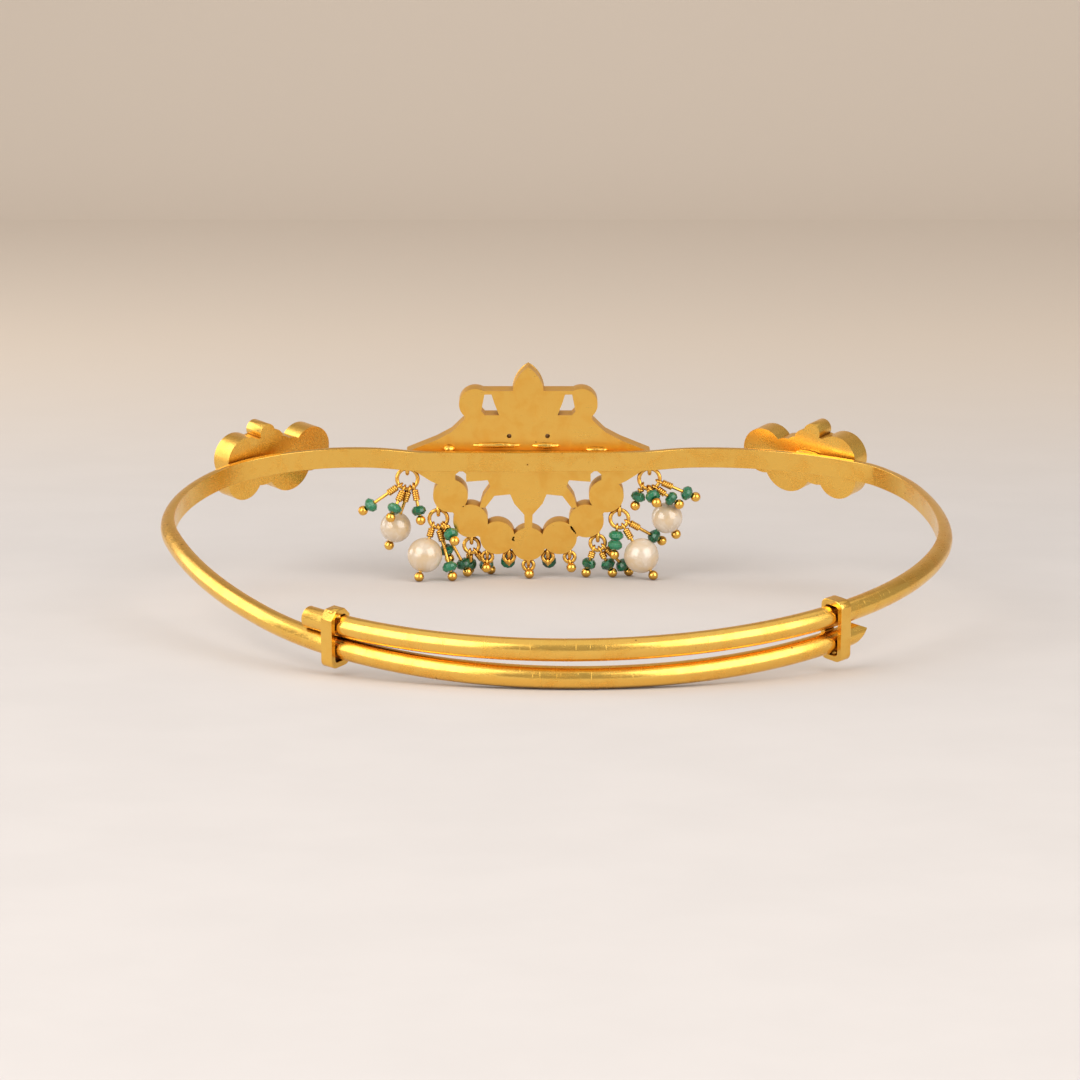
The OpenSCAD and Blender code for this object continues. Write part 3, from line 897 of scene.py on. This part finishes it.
def build_band():
    """The sprung band: a lower end with a slanted point and an upper end with a rounded tip."""
    band = sizes_of("armlet_band")
    upper, upper_end, ahead = band_half(band, RIGHT_ARCS, UPPER_END_TURN, 1)
    with editing(upper, "EDGE"):
        pick("edges", lambda e: near(e, upper_end, 2) and (middle_of(e) - upper_end).dot(ahead) > -0.01)
        bevel(UPPER_TIP_ROUND, 4)
    upper.data.transform(strip_shear(True))
    lower, lower_end, ahead = band_half(band, LEFT_ARCS, LOWER_END_TURN, -1)
    top = lower_end + Vector((0, 0, band.height * LOWER_POINT_RISE))
    with editing(lower, "EDGE"):
        for rise in LOWER_POINT_SLOPES:
            pick("faces", lambda f: (f.calc_center_median() - lower_end).length < 6)
            normal = (ahead + Vector((0, 0, rise))).normalized()
            bpy.ops.mesh.bisect(plane_co=top, plane_no=normal, use_fill=True, clear_outer=True, threshold=1e-5)
        pick("edges", lambda e: sharp(e, 25) and near(e, lower_end, 3))
        bevel(LOWER_POINT_ROUND, 2)
    lower.data.transform(strip_shear(False))
    hoop = join([upper, lower], "band")
    with editing(hoop, "VERT"):
        pick("verts", lambda v: abs(v.co.x) < 0.001 and v.co.y > -3)
        bpy.ops.mesh.remove_doubles(threshold=0.06)
        pick_all()
        bpy.ops.mesh.normals_make_consistent(inside=False)
    settle(hoop, hoop_matrix())
    finish_gold(hoop, "sprung_band", "brushed_band_gold")


def build_keeper(name, turn, upper):
    """A flat loop round both strips, with eased corners and a solder bead on top or inside."""
    band = sizes_of("armlet_band")
    a = math.radians(turn)
    spot = near_middle() + band.near_radius * Vector((math.sin(a), -math.cos(a), 0))
    rise = -spot.y * math.tan(band.climb) + spot.x * math.tan(band.spread)
    inner_h = 2 * (rise + band.height / 2 + band.keeper_room)
    inner_t = band.thickness + 2 * band.keeper_room
    wall, width = band.keeper_wall, band.keeper_width
    loop = block(width, inner_t + 2 * wall, inner_h + 2 * wall)
    with editing(loop, "EDGE"):
        pick("edges", lambda e: abs(middle_of(e).x) < 1e-4 and middle_of(e).z < 0)
        bevel(KEEPER_CORNER, 5, clamp=False)
        pick("edges", lambda e: abs(middle_of(e).x) < 1e-4 and middle_of(e).z > inner_h / 2)
        bevel(KEEPER_CORNER, 1 if upper else 4, clamp=False)
    hollow = block(width * 2, inner_t, inner_h)
    with editing(hollow, "EDGE"):
        pick("edges", lambda e: abs(middle_of(e).x) < 1e-4)
        bevel(KEEPER_HOLLOW_CORNER, 4, clamp=False)
    combine(loop, [hollow], "DIFFERENCE")
    with editing(loop, "EDGE"):
        pick("edges", lambda e: sharp(e, 40))
        bevel(KEEPER_EDGE, 3)
    side = 1 if upper else -1
    seam = lump((0.1, 0, side * (inner_h / 2 - band.keeper_room)), (0.6, 0.45, 0.4))
    bead = lump((0.15, -0.3, side * (inner_h / 2 + wall * 0.8)), (0.62, 0.75, 0.3 if upper else 0.18))
    keeper = join([loop, seam, bead], name)
    settle(keeper, hoop_matrix() @ Matrix.Translation(spot) @ Matrix.Rotation(a, 4, "Z"))
    finish_gold(keeper, name, "bright_setting_gold")


def lump(spot, halves):
    """A flowed lump of solder: an uneven, flattened ball."""
    deselect_all()
    bpy.ops.mesh.primitive_ico_sphere_add(subdivisions=4, radius=1.0)
    obj = bpy.context.object
    place(obj, Matrix.Translation(spot) @ Matrix.Diagonal((*halves, 1)))
    roughen(obj, min(halves) * 0.45, 0.7)
    return obj


def round_rims(obj, rim, corner=0.0):
    """Merges slivers, eases the outline's upright corners and rounds the sawn rims."""
    with editing(obj, "VERT"):
        pick_all()
        bpy.ops.mesh.remove_doubles(threshold=0.03)
        bpy.ops.mesh.dissolve_limited(angle_limit=math.radians(0.5))
        bpy.ops.mesh.select_mode(type="EDGE")
        if corner:
            pick("edges", lambda e: sharp(e, 24) and abs(e.verts[0].co.z - e.verts[1].co.z) > 0.5)
            bevel(corner, 3)
        pick("edges", lambda e: sharp(e, 60) and abs(e.verts[0].co.z - e.verts[1].co.z) < 0.02)
        bevel(rim, 3)


def stone_outline(stone, room=0.0):
    """Outline of a pointed stone of the plaque."""
    kind, x, y, size = stone[:4]
    if kind == "petal":
        return crossed_circles(PETAL_RADIUS - size - room, PETAL_SHIFT, PETAL_HEIGHT)
    if kind == "shield":
        return crossed_circles(size - room, 2.4, 0.4)
    return crossed_circles(4.1 - room, 3.0, y, x, size, upright=False)


def crescent_outline():
    x, y = CRESCENT_MIDDLE
    turns = [math.radians(CRESCENT_SPAN * (k / 24 - 1)) for k in range(49)]
    inner, outer = CRESCENT_RADII
    edge = [(x + outer * math.sin(a), y - outer * math.cos(a)) for a in turns]
    return edge + [(x + inner * math.sin(a), y - inner * math.cos(a)) for a in reversed(turns)]


def build_plaque():
    """The pierced centre plaque, sawn and filed from one plate."""
    sizes = sizes_of("armlet_ornament")
    depth = sizes.plaque_depth
    body = plate(WING_OUTLINE + mirrored(WING_OUTLINE[1:-1]), depth)
    parts = [plate(crossed_circles(PETAL_RADIUS, PETAL_SHIFT, PETAL_HEIGHT), depth), plate(SHOULDER_BAR, depth)]
    parts += [disc(SHOULDER_RADIUS, depth, x, y) for x, y in SHOULDERS]
    parts += [plate(crescent_outline(), depth)]
    parts += [disc(CRESCENT_END_RADIUS, depth, x, y) for x, y in CRESCENT_ENDS]
    parts += [disc(sizes.scallop_radius, depth, x, y) for x, y in SCALLOPS]
    combine(body, parts, "UNION")
    cuts = [plate(points, depth * 3, -depth) for points in (UPPER_OPENING, mirrored(UPPER_OPENING))]
    cuts += [disc(PIN_HOLE_RADIUS, depth * 3, x, y, -depth, 20) for x, y in PIN_HOLES]
    for stone in PLAQUE_STONES:
        kind, x, y, size = stone[:4]
        if kind == "round":
            cuts.append(disc(size, sizes.seat * 2, x, y, -sizes.seat))
        else:
            cuts.append(plate(stone_outline(stone), sizes.seat * 2, -sizes.seat))
    combine(body, cuts, "DIFFERENCE")
    round_rims(body, sizes.rim, PLAQUE_CORNER)
    settle(body, hoop_matrix() @ upright_matrix(sizes.plaque_gap, depth))
    finish_gold(body, "pierced_plaque", "sawn_plate_gold")
    # Faces that face sideways, the walls of the openings, take the darker wall gold: painted shade on the
    # walls.
    body.data.materials.append(finish_of("filed_wall_gold"))
    for face in body.data.polygons:
        face.material_index = 1 if abs(face.normal.y) < 0.75 else 0


def solder_lumps(spots, matrix):
    pads = join([lump(spot[:3], spot[3:]) for spot in spots], "pads")
    settle(pads, matrix)
    return pads


def build_solder():
    """Solder runs and blobs that join the plaque and motifs to the band."""
    groups = [solder_lumps(BAND_SOLDER, hoop_matrix())]
    for name, spots in MOTIF_SOLDER.items():
        groups.append(solder_lumps(spots, hoop_matrix() @ motif_matrix(name)))
        outward_normals(groups[-1])
    finish_gold(join(groups, "solder"), "solder_runs", "solder_gold", 60)


def build_motif(name):
    """A side motif: closed lobed settings with polished walls."""
    sizes = sizes_of("armlet_ornament")
    depth = sizes.motif_depth
    lobes = [disc(r, depth, x, y) for x, y, r in MOTIF_LOBES]
    body = lobes.pop(0)
    combine(body, lobes, "UNION")
    combine(body, [disc(r, sizes.seat * 2, x, y, -sizes.seat) for x, y, r in MOTIF_STONES], "DIFFERENCE")
    round_rims(body, sizes.rim * 1.3)
    settle(body, hoop_matrix() @ motif_matrix(name) @ upright_matrix(sizes.motif_gap, depth))
    outward_normals(body)
    finish_gold(body, name, "satin_setting_gold")


def cut_stone(outline, rise):
    """A faceted stone from its girdle outline: stepped crown and a table."""
    sizes = sizes_of("armlet_ornament")
    girdle = sizes.seat - sizes.stone_room
    obj = plate(outline, girdle)
    middle = sum((Vector((x, y, 0)) for x, y in outline), Vector()) / len(outline)
    height = girdle
    with editing(obj, "FACE"):
        pick("faces", lambda f: f.normal.z > 0.9)
        for grow, share in CROWN_STEPS:
            height += rise * share
            bpy.ops.mesh.extrude_region_move(TRANSFORM_OT_translate={"value": (0, 0, rise * share)})
            bpy.ops.transform.resize(value=(grow, grow, 1), center_override=(middle.x, middle.y, height))
        pick_all()
        bpy.ops.mesh.quads_convert_to_tris(quad_method="SHORTEST_DIAGONAL")
    return obj


def round_outline(x, y, radius, sides=14):
    turns = [math.tau * k / sides for k in range(sides)]
    return [(x + radius * math.cos(a), y + radius * math.sin(a)) for a in turns]


def set_stone(obj, matrix, name, replaced):
    """Puts a cut stone in its seat."""
    settle(obj, matrix)
    outward_normals(obj)
    finish_piece(obj, name, [replaced], "cut_clear_stone", flat=True)


def build_stones():
    """Clear stones in the plaque and the side motifs, a little proud of their seats."""
    sizes = sizes_of("armlet_ornament")
    room = sizes.stone_room
    base = sizes.plaque_gap + sizes.plaque_depth - sizes.seat + room
    for i, stone in enumerate(PLAQUE_STONES):
        kind, x, y, size, rise = stone
        outline = round_outline(x, y, size - room) if kind == "round" else stone_outline(stone, room)
        matrix = hoop_matrix() @ front_matrix(base)
        set_stone(cut_stone(outline, rise), matrix, f"clear_stone_{i + 1}", f"plaque_stone_{i + 1}")
    base = sizes.motif_gap + sizes.motif_depth - sizes.seat + room
    for name in MOTIF_PLACES:
        for i, (x, y, r) in enumerate(MOTIF_STONES):
            obj = cut_stone(round_outline(x, y, r - room), MOTIF_STONE_RISE)
            matrix = hoop_matrix() @ motif_matrix(name) @ front_matrix(base)
            set_stone(obj, matrix, f"{name}_clear_stone_{i + 1}", f"{name}_stone_{i + 1}")


def bezel_ring(x, y, radius, thickness):
    ring = torus(radius, thickness, 40, 10)
    place(ring, Matrix.Translation((x, y, 0)))
    return ring


def solder_bezels(rings, matrix, name):
    made = join(rings, "bezels")
    settle(made, matrix)
    outward_normals(made)
    finish_gold(made, name, "bright_setting_gold", 60)


def build_bezels():
    """Wire bezels round every stone."""
    sizes = sizes_of("armlet_ornament")
    rings = []
    for stone in PLAQUE_STONES:
        kind, x, y, size = stone[:4]
        if kind == "round":
            rings.append(bezel_ring(x, y, size + BEZEL_OUT, sizes.bezel))
        else:
            rings.append(wire_loop([(*spot, 0.0) for spot in stone_outline(stone, -BEZEL_OUT)], sizes.bezel))
    front = front_matrix(sizes.plaque_gap + sizes.plaque_depth)
    solder_bezels(rings, hoop_matrix() @ front, "plaque_bezels")
    front = front_matrix(sizes.motif_gap + sizes.motif_depth)
    for name in MOTIF_PLACES:
        rings = [bezel_ring(x, y, r + BEZEL_OUT, sizes.bezel) for x, y, r in MOTIF_STONES]
        solder_bezels(rings, hoop_matrix() @ motif_matrix(name) @ front, f"{name}_bezels")


def eye_spot(eye):
    """Middle of an eye in the hoop's plane."""
    sizes = sizes_of("armlet_ornament")
    x, z, _ = EYES[eye]
    return Vector((x, sizes.plaque_gap + sizes.plaque_depth / 2, z))


def build_eyes():
    """Wire eyes soldered under the plaque's edge."""
    model = torus(EYE_RADIUS, sizes_of("armlet_drops").ring_wire, 32, 12)
    loops = []
    for eye in range(len(EYES)):
        loop = copy_of(model, "eye")
        place(loop, turned_to((1, 0, 0), eye_spot(eye)))
        loops.append(loop)
    bpy.data.objects.remove(model)
    made = join(loops, "eyes")
    settle(made, hoop_matrix())
    finish_gold(made, "plaque_eyes", "wire_gold", 60)


def ring_spot(eye):
    """Middle of the ring that hangs in an eye, from the floor under the band's middle."""
    return foot_matrix().inverted() @ hoop_matrix() @ eye_spot(eye) - Vector((0, 0, EYES[eye][2]))


def pin_run(drop):
    """A head pin's start on its ring and the middle of its end ball."""
    a = math.radians(drop[1])
    return ring_spot(drop[0]) + Vector((math.sin(a), 0, -math.cos(a))) * EYES[drop[0]][2], Vector(drop[2])


def bead_half(drop):
    """Half the length of a drop's bead along its pin."""
    drops = sizes_of("armlet_drops")
    pearls = {"small pearl": drops.small_pearl, "large pearl": drops.large_pearl}
    return drops.bead_length / 2 if drop[3] == "green" else pearls.get(drop[3], 0.0)


def bead_spot(drop, k):
    """Middle of the k-th bead on a pin, counted from its end ball."""
    start, tip = pin_run(drop)
    along = sizes_of("armlet_drops").ball + (2 * k + 1) * bead_half(drop) + (k + 1) * BEAD_GAP
    return tip + (start - tip).normalized() * along


def wire_models(drops):
    """The loop, wrap, stem and end ball that every head pin repeats."""
    loop = torus(drops.ring_wire + drops.wrap_wire + 0.02, drops.wrap_wire, 20, 8)
    wrap = torus(drops.pin_wire + drops.wrap_wire * 0.6, drops.wrap_wire, 18, 8)
    stem = disc(drops.pin_wire, 1.0, z=-0.5, sides=12)
    end = ball(drops.ball)
    with editing(end, "VERT"):
        pick("verts", lambda v: v.co.z < -0.82 * drops.ball)
        bpy.ops.transform.resize(value=(1, 1, 0.7))
    return {"loop": loop, "wrap": wrap, "stem": stem, "ball": end}


def build_drop_wires(eye, drops, models):
    """One ring with its head pins: loops, wraps, stems and end balls."""
    ring = torus(EYES[eye][2], drops.ring_wire, 44, 12)
    place(ring, turned_to((0, 1, 0), ring_spot(eye)))
    parts = [ring]

    def add(model, matrix):
        part = copy_of(models[model], model)
        place(part, matrix)
        parts.append(part)

    for drop in (d for d in DROPS if d[0] == eye):
        start, tip = pin_run(drop)
        run = (tip - start).normalized()
        a = math.radians(drop[1])
        tangent = Vector((math.cos(a), 0, math.sin(a)))
        add("loop", turned_to(tangent - run * tangent.dot(run), start))
        stem_start = start + run * (drops.ring_wire + drops.wrap_wire)
        span = (tip - stem_start).length
        add("stem", turned_to(run, (stem_start + tip) / 2) @ Matrix.Diagonal((1, 1, span, 1)))
        add("ball", turned_to(run, tip))
        free = span - drops.ball - (2 * bead_half(drop) + BEAD_GAP) * drop[4] - 0.1
        for turn in range(max(0, min(WRAPS_MOST, int(free / (WRAP_PITCH * drops.wrap_wire))))):
            add("wrap", turned_to(run, stem_start + run * (turn * WRAP_PITCH + WRAP_FIRST) * drops.wrap_wire))
    made = join(parts, "wires")
    settle(made, foot_matrix())
    finish_piece(made, f"ring_and_pins_{eye + 1}", [f"drop_wires_{eye + 1}"], "wire_gold", 60)


def bead_model(drops):
    """A green bead: a drilled section spun with eleven flat sides."""
    bore = drops.pin_wire + BEAD_GAP
    radius, half = drops.bead, drops.bead_length / 2
    deselect_all()
    bpy.ops.mesh.primitive_circle_add(vertices=6, radius=radius)
    bead = bpy.context.object
    shoulder, flat = BEAD_SHOULDER * radius, BEAD_FLAT * half
    outward = [(radius, flat), (shoulder, half), (bore, half)]
    section = [(x, -z) for x, z in reversed(outward)] + outward
    for vertex, (x, z) in zip(bead.data.vertices, section):
        vertex.co = (x, 0, z)
    with editing(bead, "VERT"):
        pick_all()
        bpy.ops.mesh.spin(steps=BEAD_SIDES, angle=math.tau, center=(0, 0, 0), axis=(0, 0, 1))
        pick_all()
        bpy.ops.mesh.remove_doubles(threshold=0.01)
        bpy.ops.mesh.normals_make_consistent(inside=False)
    return bead


def build_beads():
    """Green beads, each a little uneven, as cut by hand."""
    drops = sizes_of("armlet_drops")
    model = bead_model(drops)
    draw = random.Random(7)
    for i, (drop, k) in enumerate((d, k) for d in DROPS if d[3] == "green" for k in range(d[4])):
        start, tip = pin_run(drop)
        bead = copy_of(model, "bead")
        for vertex in bead.data.vertices:
            if math.hypot(vertex.co.x, vertex.co.y) > 0.5 * drops.bead:
                vertex.co *= draw.uniform(*BEAD_UNEVEN)
        with editing(bead, "EDGE"):
            pick_all()
            bpy.ops.mesh.quads_convert_to_tris(quad_method="SHORTEST_DIAGONAL")
            pick("edges", lambda e: sharp(e, 12))
            bevel(BEAD_EDGE, 1)
        turn = Matrix.Rotation(draw.uniform(0, math.tau), 4, "Z")
        settle(bead, foot_matrix() @ turned_to(start - tip, bead_spot(drop, k)) @ turn)
        replaced = [f"green_bead_{i + 1}"]
        finish_piece(bead, f"emerald_bead_{i + 1}", replaced, "cut_green_stone", 8)
    bpy.data.objects.remove(model)


def build_pearls():
    """Cream pearls, slightly out of round, flattened at the drill holes."""
    for i, drop in enumerate(d for d in DROPS if "pearl" in d[3]):
        start, tip = pin_run(drop)
        radius = bead_half(drop)
        pearl = ball(radius, 64, 40)
        with editing(pearl, "VERT"):
            pick("verts", lambda v: abs(v.co.z) > PEARL_FLAT * radius)
            bpy.ops.transform.resize(value=(1, 1, PEARL_FLAT), center_override=(0, 0, 0))
        roughen(pearl, *PEARL_UNEVEN)
        settle(pearl, foot_matrix() @ turned_to(start - tip, bead_spot(drop, 0)))
        finish_piece(pearl, f"ivory_pearl_{i + 1}", [f"pearl_{i + 1}"], "ivory_nacre", 60)


# ---------------------------------------------------------------- stage


def build_floor(finish):
    """A pale floor that sweeps up behind."""
    deselect_all()
    bpy.ops.mesh.primitive_plane_add(size=1.0, location=(0, 0, 0))
    sweep = bpy.context.object
    with editing(sweep, "VERT"):
        pick_all()
        bpy.ops.transform.resize(value=FLOOR_SIZE)
        bpy.ops.transform.translate(value=(0, FLOOR_FORWARD, 0))
        bpy.ops.mesh.select_mode(type="EDGE")
        pick("edges", lambda e: all(v.co.y > 0.5 for v in e.verts))
        bpy.ops.mesh.extrude_region_move(TRANSFORM_OT_translate={"value": (0, 0.25, 0.0)})
        bpy.ops.mesh.extrude_region_move(TRANSFORM_OT_translate={"value": (0, 0.05, BACKDROP_RISE)})
        pick("edges", lambda e: all(abs(v.co.y - FLOOR_BACK) < 0.01 and v.co.z < 0.1 for v in e.verts))
        bevel(BACKDROP_ROUND, 12, clamp=False)
    sweep.name = "floor"
    activate(sweep)
    bpy.ops.object.shade_smooth()
    sweep.data.materials.append(cloth_finish("pale_cover", finish.floor, finish.backdrop))


def build_stage():
    """Pale swept floor, softboxes beside and above, a dim room and the camera."""
    scene = bpy.context.scene
    stage = scene.armlet_stage
    build_floor(scene.armlet_finish)
    for name, (azimuth, far, height, power, size) in SOFTBOXES.items():
        a = math.radians(azimuth)
        light = bpy.data.lights.new(name, "AREA")
        light.shape = "RECTANGLE"
        light.size, light.size_y = size
        light.energy = stage.light * power
        light.color = LIGHT_COLOUR
        lamp = scene_object(name, light)
        lamp.location = Vector((math.sin(a), -math.cos(a), 0)) * stage.reach * far + Vector((0, 0, height))
        lamp.rotation_euler = (LIGHT_AIM - lamp.location).to_track_quat("-Z", "Y").to_euler()
    scene.world = bpy.data.worlds.new("room")
    scene.world.use_nodes = True
    background = scene.world.node_tree.nodes["Background"]
    background.inputs["Color"].default_value = ROOM_COLOUR
    background.inputs["Strength"].default_value = ROOM_STRENGTH
    camera = bpy.data.cameras.new("camera")
    camera.sensor_width = 36
    camera.lens = stage.lens
    camera.clip_start = 0.01
    view = scene_object("camera", camera)
    view.location = CAMERA_PLACE * MM
    view.rotation_euler = (math.radians(90) - stage.pitch, 0, 0)
    scene.camera = view
    scene.view_settings.view_transform = "Standard"


# ---------------------------------------------------------------- add-on


class ARMLET_OT_band(bpy.types.Operator):
    """Build the sprung band"""

    bl_idname = "armlet.band"
    bl_label = "Band"

    def execute(self, context):
        build_band()
        return {"FINISHED"}


class ARMLET_OT_keepers(bpy.types.Operator):
    """Build the two keepers"""

    bl_idname = "armlet.keepers"
    bl_label = "Keepers"

    def execute(self, context):
        for name, turn in KEEPER_TURNS.items():
            build_keeper(name, turn, name == "left_keeper")
        return {"FINISHED"}


class ARMLET_OT_plaque(bpy.types.Operator):
    """Build the pierced centre plaque and its eyes"""

    bl_idname = "armlet.plaque"
    bl_label = "Plaque"

    def execute(self, context):
        build_plaque()
        build_eyes()
        return {"FINISHED"}


class ARMLET_OT_motifs(bpy.types.Operator):
    """Build the two side motifs"""

    bl_idname = "armlet.motifs"
    bl_label = "Side motifs"

    def execute(self, context):
        for name in MOTIF_PLACES:
            build_motif(name)
        return {"FINISHED"}


class ARMLET_OT_solder(bpy.types.Operator):
    """Build the solder runs"""

    bl_idname = "armlet.solder"
    bl_label = "Solder"

    def execute(self, context):
        build_solder()
        return {"FINISHED"}


class ARMLET_OT_stones(bpy.types.Operator):
    """Build the clear stones and their bezels"""

    bl_idname = "armlet.stones"
    bl_label = "Clear stones"

    def execute(self, context):
        build_stones()
        build_bezels()
        return {"FINISHED"}


class ARMLET_OT_drop_wires(bpy.types.Operator):
    """Build the rings and head pins"""

    bl_idname = "armlet.drop_wires"
    bl_label = "Rings and pins"

    def execute(self, context):
        drops = sizes_of("armlet_drops")
        models = wire_models(drops)
        for eye in range(len(EYES)):
            build_drop_wires(eye, drops, models)
        for model in models.values():
            bpy.data.objects.remove(model)
        return {"FINISHED"}


class ARMLET_OT_beads(bpy.types.Operator):
    """Build the green beads"""

    bl_idname = "armlet.beads"
    bl_label = "Green beads"

    def execute(self, context):
        build_beads()
        return {"FINISHED"}


class ARMLET_OT_pearls(bpy.types.Operator):
    """Build the pearls"""

    bl_idname = "armlet.pearls"
    bl_label = "Pearls"

    def execute(self, context):
        build_pearls()
        return {"FINISHED"}


class ARMLET_OT_stage(bpy.types.Operator):
    """Build the floor, the lights and the camera"""

    bl_idname = "armlet.stage"
    bl_label = "Stage"

    def execute(self, context):
        build_stage()
        return {"FINISHED"}


GROUPS = {
    "armlet_band": BandSettings,
    "armlet_ornament": OrnamentSettings,
    "armlet_drops": DropSettings,
    "armlet_finish": FinishSettings,
    "armlet_stage": StageSettings,
}
STEPS = [
    ARMLET_OT_band, ARMLET_OT_keepers, ARMLET_OT_plaque, ARMLET_OT_motifs, ARMLET_OT_solder,
    ARMLET_OT_stones, ARMLET_OT_drop_wires, ARMLET_OT_beads, ARMLET_OT_pearls, ARMLET_OT_stage,
]


class ARMLET_PT_panel(bpy.types.Panel):
    """Steps and settings of the armlet"""

    bl_idname = "ARMLET_PT_panel"
    bl_label = "Armlet"
    bl_space_type = "VIEW_3D"
    bl_region_type = "UI"
    bl_category = "Armlet"

    def draw(self, context):
        for step in STEPS:
            self.layout.operator(step.bl_idname)
        for name, group in GROUPS.items():
            box = self.layout.box()
            box.label(text=group.bl_rna.description)
            for key in group.__annotations__:
                box.prop(getattr(context.scene, name), key)


def register():
    for item in [*GROUPS.values(), *STEPS, ARMLET_PT_panel]:
        bpy.utils.register_class(item)
    for name, group in GROUPS.items():
        setattr(bpy.types.Scene, name, PointerProperty(type=group))


def unregister():
    for name in GROUPS:
        delattr(bpy.types.Scene, name)
    for item in reversed([*GROUPS.values(), *STEPS, ARMLET_PT_panel]):
        bpy.utils.unregister_class(item)


def main():
    register()
    for step in STEPS:
        group, name = step.bl_idname.split(".")
        getattr(getattr(bpy.ops, group), name)()


if __name__ == "__main__":
    main()
